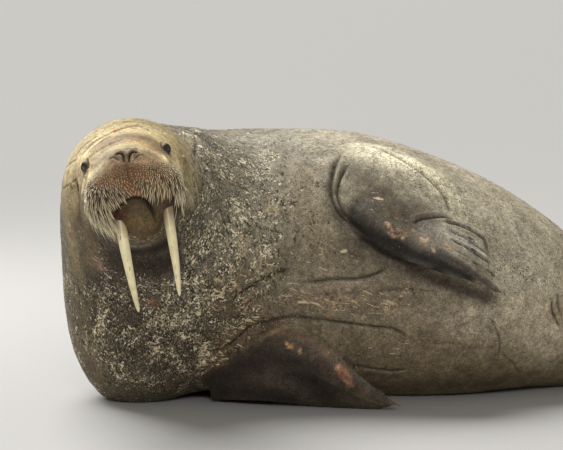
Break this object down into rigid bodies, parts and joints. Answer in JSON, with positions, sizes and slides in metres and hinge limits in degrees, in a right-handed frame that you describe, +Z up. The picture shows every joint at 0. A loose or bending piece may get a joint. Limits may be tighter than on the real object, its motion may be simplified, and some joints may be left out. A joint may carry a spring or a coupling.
{
  "type": "walrus",
  "caption": "Life-size still model of a young adult walrus lying on its side with its head raised, tusks down and flippers laid out.",
  "frame": {"origin": "centre of the bounding box, at floor level, where the body rests", "axes": "+X from the head towards the hind flippers, -Y the way the face and belly look, +Z up"},
  "size_m": [2.7308, 1.4928, 0.8939],
  "materials": {
    "hide": "thick creased hide with short flat hair",
    "face_skin": "smooth pale hide with short flat hair",
    "flipper_skin": "bare ridged skin, dark",
    "tusk_ivory": "polished ivory with fine lengthwise cracks",
    "eye": "wet and dark"
  },
  "bodies": {
    "root": {"head": "face_skin", "lower_jaw": "face_skin", "whisker_pad_left": "face_skin", "whisker_pad_right": "face_skin", "tusk_left": "tusk_ivory", "tusk_right": "tusk_ivory", "eye_left": "eye", "eye_right": "eye", "neck": "hide", "chest": "hide", "belly": "hide", "hips": "hide", "tail": "hide", "fore_flipper_left": "flipper_skin", "fore_flipper_right": "flipper_skin", "hind_flipper_left": "flipper_skin", "hind_flipper_right": "flipper_skin"}
  },
  "joints": []
}
